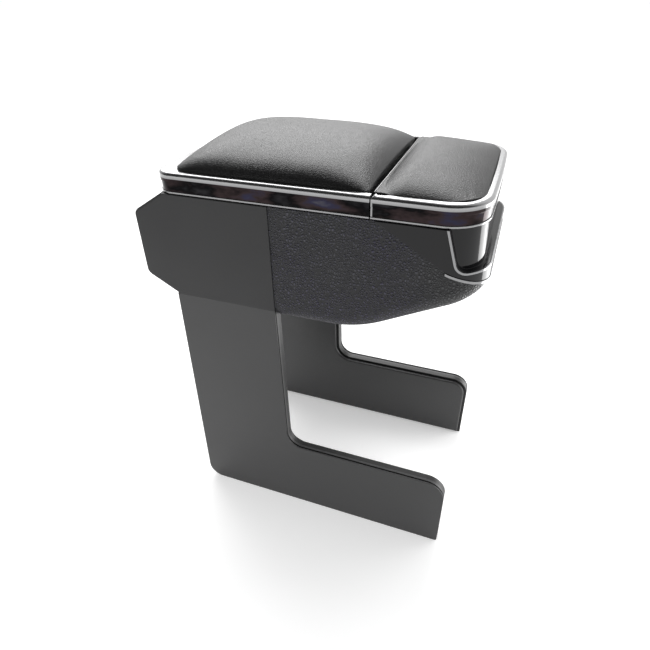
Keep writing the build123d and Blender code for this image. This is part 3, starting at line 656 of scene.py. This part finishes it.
def rounded_plan(x_low, x_high, low_radius, high_radius):
    """Closed plan outline of a pad: four sides of points, each from mid-corner to mid-corner."""
    def corner(cx, cy, radius, start):
        count = max(3, int(radius * math.pi / 2 / OUTLINE_STEP))
        turns = [start + math.pi / 2 * k / count for k in range(count + 1)]
        return [(cx + radius * math.cos(turn), cy + radius * math.sin(turn)) for turn in turns]

    corners = [
        corner(x_high - high_radius, -PAD_HALF + high_radius, high_radius, -math.pi / 2),
        corner(x_high - high_radius, PAD_HALF - high_radius, high_radius, 0),
        corner(x_low + low_radius, PAD_HALF - low_radius, low_radius, math.pi / 2),
        corner(x_low + low_radius, -PAD_HALF + low_radius, low_radius, math.pi),
    ]
    sides = []
    for first, second in zip(corners, corners[1:] + corners[:1]):
        sides.append(first[len(first) // 2:] + second[:len(second) // 2 + 1])
    return sides


def along(points, share):
    """Point at a share of a polyline's length."""
    lengths = [math.dist(a, b) for a, b in zip(points, points[1:])]
    left = share * sum(lengths)
    for a, b, length in zip(points, points[1:], lengths):
        if left <= length + 1e-12:
            t = left / length if length else 0
            return a[0] + (b[0] - a[0]) * t, a[1] + (b[1] - a[1]) * t
        left -= length
    return points[-1]


def crowd(t):
    """Draws grid lines towards the edge of a pad."""
    return math.copysign(1 - (1 - abs(t)) ** 1.5, t)


def plan_point(sides, centre, s, t):
    """Place in the plan of a grid point in -1 to 1: square rings of the grid become copies of the outline."""
    near = 1e-9
    ring = max(abs(s), abs(t))
    if ring < near:
        return centre
    a, b = s / ring, t / ring
    if a >= 1 - near:
        edge = along(sides[0], (b + 1) / 2)
    elif b >= 1 - near:
        edge = along(sides[1], (1 - a) / 2)
    elif a <= -1 + near:
        edge = along(sides[2], (1 - b) / 2)
    else:
        edge = along(sides[3], (a + 1) / 2)
    return centre[0] + ring * (edge[0] - centre[0]), centre[1] + ring * (edge[1] - centre[1])


def pad_mesh(name, sides, centre, height, foot, cells):
    """Closed pad over a plan outline: a top and a base by height functions, and an upright wall."""
    mesh = bpy.data.meshes.new(name)
    form = bmesh.new()
    top, base = [], []
    for i in range(cells + 1):
        for k in range(cells + 1):
            x, y = plan_point(sides, centre, crowd(2 * i / cells - 1), crowd(2 * k / cells - 1))
            top.append(form.verts.new((x, y, height(x, y))))
            base.append(form.verts.new((x, y, foot(x))))
    row = cells + 1
    for i in range(cells):
        for k in range(cells):
            a, b, c, d = i * row + k, (i + 1) * row + k, (i + 1) * row + k + 1, i * row + k + 1
            form.faces.new([top[n] for n in (a, b, c, d)])
            form.faces.new([base[n] for n in (d, c, b, a)])
    rim = (
        [i * row for i in range(cells)]
        + [cells * row + k for k in range(cells)]
        + [i * row + cells for i in range(cells, 0, -1)]
        + list(range(cells, 0, -1))
    )
    for a, b in zip(rim, rim[1:] + rim[:1]):
        form.faces.new((top[b], top[a], base[a], base[b]))
    bmesh.ops.recalc_face_normals(form, faces=form.faces)
    form.to_mesh(mesh)
    form.free()
    piece = bpy.data.objects.new(name, mesh)
    bpy.context.scene.collection.objects.link(piece)
    # Top and base points alternate in the mesh: the base and the rim of the top are held
    held = piece.vertex_groups.new(name="held")
    held.add([2 * n + 1 for n in range(row * row)] + [2 * n for n in rim], 1.0, "REPLACE")
    return piece


def fill_pad(piece, pressure, swell):
    """Fills the pad by a cloth simulation held at its rim, and keeps each point near where it began."""
    scene = bpy.context.scene
    before = [v.co.copy() for v in piece.data.vertices]
    cloth = piece.modifiers.new("Filling", "CLOTH")
    cloth.settings.quality = 6
    cloth.settings.mass = 0.3
    cloth.settings.tension_stiffness = 20
    cloth.settings.compression_stiffness = 20
    cloth.settings.bending_stiffness = 2
    cloth.settings.use_pressure = True
    cloth.settings.uniform_pressure_force = pressure
    cloth.settings.vertex_group_mass = "held"
    cloth.settings.effector_weights.gravity = 0
    cloth.point_cache.frame_start = 1
    cloth.point_cache.frame_end = FILL_FRAMES
    for number in range(1, FILL_FRAMES + 1):
        scene.frame_set(number)
    shaped = piece.evaluated_get(bpy.context.evaluated_depsgraph_get())
    after = [v.co.copy() for v in shaped.data.vertices]
    piece.modifiers.remove(cloth)
    scene.frame_set(1)
    for vertex, start, end in zip(piece.data.vertices, before, after):
        move = end - start
        if move.length > swell:
            move = move.normalized() * swell
        vertex.co = start + move


def smooth_piece(piece):
    """Smooth shading and one level of subdivision."""
    for face in piece.data.polygons:
        face.use_smooth = True
    surface = piece.modifiers.new("Surface", "SUBSURF")
    surface.levels = 1
    surface.render_levels = 1


def settle(x, y):
    """Slow unevenness of foam under leather."""
    broad = 0.22 * MM * math.sin(71 * x + 1.3) * math.sin(83 * y + 0.4)
    return broad + 0.12 * MM * math.sin(160 * x - 97 * y)


def from_peak(x, start, peak, end):
    """Place along a pad's crown: -1 at its start, 0 at its peak, 1 at its end."""
    return (x - peak) / ((peak - start) if x < peak else (end - peak))


def fade(place, bend, power):
    """Falls from 1 at a crown's middle to 0 at its edge: a larger bend keeps the middle flatter."""
    return max(0.0, 1 - abs(place) ** bend) ** power


class MakePads(bpy.types.Operator):
    """Make the two padded leather lid tops"""

    bl_idname = "console.make_pads"
    bl_label = "Make Pads"

    def rear(self, values):
        """Rear pad: a rolled edge along each side under a broad crown."""
        crown = values.rear_crown - values.swell * REAR_FILL

        def height(x, y):
            v = y / PAD_HALF
            across = ROLL_SHARE * fade(v, bend=12, power=0.5) + (1 - ROLL_SHARE) * fade(v, bend=2, power=1)
            u = from_peak(x, REAR_START, REAR_PEAK, REAR_END)
            dome = fade(u, bend=4, power=0.6) * across
            return PAD_BASE + crown * dome + settle(x, y) * dome

        x_low, x_high = rear_pad_low.x, rear_pad_high.x
        sides = rounded_plan(x_low, x_high, *REAR_CORNERS)
        return pad_mesh(
            "rear_lid_pad", sides, ((x_low + x_high) / 2, 0), height, lambda x: PAD_FOOT, REAR_CELLS)

    def front(self, values):
        """Front pad: a lower crown, with a shelf just above the frame at the split."""
        crown = values.front_crown - values.swell * FRONT_FILL

        def height(x, y):
            u = from_peak(x, FRONT_START, FRONT_PEAK, FRONT_END)
            lengthwise = fade(u, bend=1.6, power=0.85 if u < 0 else 0.6)
            dome = lengthwise * fade(y / PAD_HALF, bend=3, power=0.6)
            top = PAD_BASE + crown * dome + settle(y, x) * dome
            fall = min(1.0, max(0.0, (x - SHELF_END) / SHELF_FALL))
            return max(top, BEAD_TOP + SHELF_RISE - SHELF_DROP * fall * fall)

        def foot(x):
            return BEAD_TOP + SHELF_GAP if x < SHELF_END else PAD_FOOT

        x_low, x_high = FRONT_EDGE, front_pad_high.x
        sides = rounded_plan(x_low, x_high, *FRONT_CORNERS)
        return pad_mesh("front_lid_pad", sides, ((x_low + x_high) / 2, 0), height, foot, FRONT_CELLS)

    def execute(self, context):
        values = context.scene.console.pads
        # Pad leather: creases of the grain painted darker, as painted shade.
        hide = leather(
            "pad_leather", tuple(values.leather), scale=820.0, crease=0.32, depth=0.14 * MM,
            rough=(0.28, 0.42))
        rear = self.rear(values)
        front = self.front(values)
        for piece, body, node in ((rear, "rear_lid", "rear_pad"), (front, "front_lid", "front_pad")):
            fill_pad(piece, values.pressure, values.swell)
            smooth_piece(piece)
            piece.data.materials.append(hide)
            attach(piece, body)
            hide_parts(node)
        return {"FINISHED"}


class MakeSplitEdge(bpy.types.Operator):
    """Make the thin bright edge along the front lid at the split"""

    bl_idname = "console.make_split_edge"
    bl_label = "Make Split Edge"

    def ring(self, form, y):
        """Ring of points round the edge, smaller towards its ends."""
        close = min(1.0, (PAD_HALF - abs(y)) / EDGE_TAPER)
        reach = EDGE_RADIUS * (EDGE_END + (1 - EDGE_END) * close)
        x, z = front_frame_low.x + EDGE_WIDTH / 2, BEAD_TOP + EDGE_WIDTH / 2
        turns = [math.tau * k / EDGE_SIDES for k in range(EDGE_SIDES)]
        return [form.verts.new((x + reach * math.cos(t), y, z + reach * math.sin(t))) for t in turns]

    def execute(self, context):
        form = bmesh.new()
        rings = [self.ring(form, -PAD_HALF + 2 * PAD_HALF * k / EDGE_STEPS) for k in range(EDGE_STEPS + 1)]
        for first, second in zip(rings, rings[1:]):
            for k in range(EDGE_SIDES):
                following = (k + 1) % EDGE_SIDES
                form.faces.new((first[k], first[following], second[following], second[k]))
        form.faces.new(rings[0])
        form.faces.new(list(reversed(rings[-1])))
        bmesh.ops.recalc_face_normals(form, faces=form.faces)
        mesh = bpy.data.meshes.new("split_edge")
        form.to_mesh(mesh)
        form.free()
        piece = bpy.data.objects.new("split_edge", mesh)
        context.scene.collection.objects.link(piece)
        smooth_piece(piece)
        mesh.materials.append(bpy.data.materials["plated_trim"])
        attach(piece, "front_lid")
        return {"FINISHED"}


class DressInside(bpy.types.Operator):
    """Finish the bin, the tray, the lid panels, the mats and the buffers"""

    bl_idname = "console.dress_inside"
    bl_label = "Dress Inside"

    def execute(self, context):
        values = context.scene.console.shell
        liner = moulded(
            "liner_plastic", tuple(values.liner), scale=800.0, depth=0.12 * MM, rough=(0.5, 0.65),
            soften=0.6 * MM)
        paint(liner, "storage_bin", "front_tray", "rear_lid_panel", "front_lid_panel")
        flock = moulded(
            "flock_mat", tuple(values.mat), scale=1800.0, depth=0.5 * MM, rough=(0.85, 1.0),
            soften=0.0, specular=0.2)
        paint(flock, "bin_mat", "tray_mat")
        rubber = moulded(
            "buffer_rubber", tuple(values.buffer), scale=700.0, depth=0.1 * MM, rough=(0.6, 0.75),
            soften=0.4 * MM)
        paint(rubber, "lid_buffers")
        return {"FINISHED"}


class DressHardware(bpy.types.Operator):
    """Finish the screws, hinge leaves, pins and rod"""

    bl_idname = "console.dress_hardware"
    bl_label = "Dress Hardware"

    def execute(self, context):
        values = context.scene.console.bright
        satin = moulded(
            "satin_steel", tuple(values.steel), scale=500.0, patch=120.0, depth=0.03 * MM, rough=(0.25, 0.45),
            strength=0.3, soften=0.3 * MM, deepest=0.75, metallic=1.0)
        paint(
            satin,
            "leg_screws", "hull_screws", "front_hinge_rod",
            "right_fixed_leaf", "left_fixed_leaf", "right_lid_leaf", "left_lid_leaf",
            "right_hinge_pin", "left_hinge_pin",
        )
        return {"FINISHED"}


class SetStage(bpy.types.Operator):
    """Set the floor, the studio lights and the camera"""

    bl_idname = "console.set_stage"
    bl_label = "Set Stage"

    def lay_floor(self, scene, colour):
        """Pale paper floor that keeps the shadow and glows a little where it is seen or mirrored."""
        mesh = bpy.data.meshes.new("studio_floor")
        corners = [(-1, -1), (1, -1), (1, 1), (-1, 1)]
        mesh.from_pydata([(x * FLOOR_REACH, y * FLOOR_REACH, 0) for x, y in corners], [], [(0, 1, 2, 3)])
        floor = bpy.data.objects.new("studio_floor", mesh)
        scene.collection.objects.link(floor)
        floor.location.z = cad_low[2] - FLOOR_DROP
        floor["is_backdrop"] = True
        material = bpy.data.materials.new("floor_paper")
        material.use_nodes = True
        tree = material.node_tree
        shader = tree.nodes["Principled BSDF"]
        shader.inputs["Base Color"].default_value = (*colour, 1)
        shader.inputs["Roughness"].default_value = 0.9
        shader.inputs["Specular IOR Level"].default_value = 0.1
        shader.inputs["Emission Color"].default_value = (1, 1, 1, 1)
        rays = put(tree, "ShaderNodeLightPath").outputs
        shown = largest(tree, rays["Is Camera Ray"], rays["Is Glossy Ray"], rays["Is Transmission Ray"])
        glow = put(tree, "ShaderNodeMath", operation="MULTIPLY")
        glow.inputs[1].default_value = FLOOR_GLOW
        wire(tree, (shown, glow.inputs[0]), (glow.outputs["Value"], shader.inputs["Emission Strength"]))
        mesh.materials.append(material)

    def light_room(self, scene):
        """White room for the camera, soft light for the surfaces, and a dark camera side in mirrors."""
        world = bpy.data.worlds.new("studio_world")
        scene.world = world
        world.use_nodes = True
        tree = world.node_tree
        rays = put(tree, "ShaderNodeLightPath").outputs
        ways = put(tree, "ShaderNodeTexCoord")
        way = put(tree, "ShaderNodeSeparateXYZ")
        room = put(tree, "ShaderNodeMapRange", From_Min=-0.35, From_Max=0.55, To_Min=0.04, To_Max=1.0)
        soft = put(tree, "ShaderNodeMix")
        soft.inputs["A"].default_value = SOFT_LEVEL
        background = tree.nodes["Background"]
        background.inputs["Color"].default_value = (1, 1, 1, 1)
        level = largest(tree, rays["Is Camera Ray"], rays["Is Transmission Ray"], soft.outputs["Result"])
        wire(
            tree,
            (ways.outputs["Generated"], way.inputs["Vector"]),
            (way.outputs["Y"], room.inputs["Value"]),
            (rays["Is Glossy Ray"], soft.inputs["Factor"]),
            (room.outputs["Result"], soft.inputs["B"]),
            (level, background.inputs["Strength"]),
        )

    def soft_box(self, scene, name, place, aim, width, height, power):
        """Rectangular area light that the camera doesn't see."""
        data = bpy.data.lights.new(name, "AREA")
        data.shape = "RECTANGLE"
        data.size = width
        data.size_y = height
        data.energy = power
        lamp = bpy.data.objects.new(name, data)
        scene.collection.objects.link(lamp)
        lamp.location = place
        lamp.rotation_euler = (Vector(aim) - Vector(place)).to_track_quat("-Z", "Y").to_euler()
        lamp.visible_camera = False

    def place_camera(self, scene, values):
        """Camera fitted to the photograph."""
        data = bpy.data.cameras.new("photo_camera")
        data.sensor_width = 36.0
        data.lens = values.focal
        data.clip_start = 10 * MM
        camera = bpy.data.objects.new("photo_camera", data)
        scene.collection.objects.link(camera)
        az, el = values.azimuth, values.elevation
        forward = Vector((-math.sin(az) * math.cos(el), math.cos(az) * math.cos(el), -math.sin(el)))
        right = Vector((math.cos(az), math.sin(az), 0))
        level = Matrix((right, right.cross(forward), -forward)).transposed()
        turned = (Matrix.Rotation(values.roll, 3, forward) @ level).to_4x4()
        camera.matrix_world = Matrix.Translation(values.camera_place) @ turned
        scene.camera = camera

    def execute(self, context):
        scene = context.scene
        values = scene.console.stage
        self.lay_floor(scene, values.floor)
        self.light_room(scene)
        self.soft_box(
            scene, "back_box", place=(-0.5, 0.95, 1.3), aim=(0, 0, 0.3),
            width=1.6, height=1.3, power=values.back_power)
        self.soft_box(
            scene, "front_card", place=(0.34, 0.16, 0.11), aim=(0.12, -0.04, 0.25),
            width=0.24, height=0.2, power=values.card_power)
        self.place_camera(scene, values)
        scene.view_settings.view_transform = "Standard"
        return {"FINISHED"}


class ConsolePanel(bpy.types.Panel):
    """Lists the steps that dress the console"""

    bl_idname = "CONSOLE_PT_dressing"
    bl_label = "Console"
    bl_space_type = "VIEW_3D"
    bl_region_type = "UI"
    bl_category = "Console"

    def draw(self, context):
        for step in STEPS:
            self.layout.operator(step.bl_idname)


STEPS = (
    DressLegs, DressBody, DressNose, DressLidFrames, MakePads, MakeSplitEdge,
    DressInside, DressHardware, SetStage,
)
CLASSES = (ShellFinish, BrightFinish, PadShape, StageLook, ConsoleSettings, *STEPS, ConsolePanel)


def register():
    for item in CLASSES:
        bpy.utils.register_class(item)
    bpy.types.Scene.console = bpy.props.PointerProperty(
        type=ConsoleSettings, name="Console", description="Values for the console's dressing")


def unregister():
    del bpy.types.Scene.console
    for item in reversed(CLASSES):
        bpy.utils.unregister_class(item)


def main():
    register()
    bpy.ops.console.dress_legs()
    bpy.ops.console.dress_body()
    bpy.ops.console.dress_nose()
    bpy.ops.console.dress_lid_frames()
    bpy.ops.console.make_pads()
    bpy.ops.console.make_split_edge()
    bpy.ops.console.dress_inside()
    bpy.ops.console.dress_hardware()
    bpy.ops.console.set_stage()


if __name__ == "__main__":
    main()
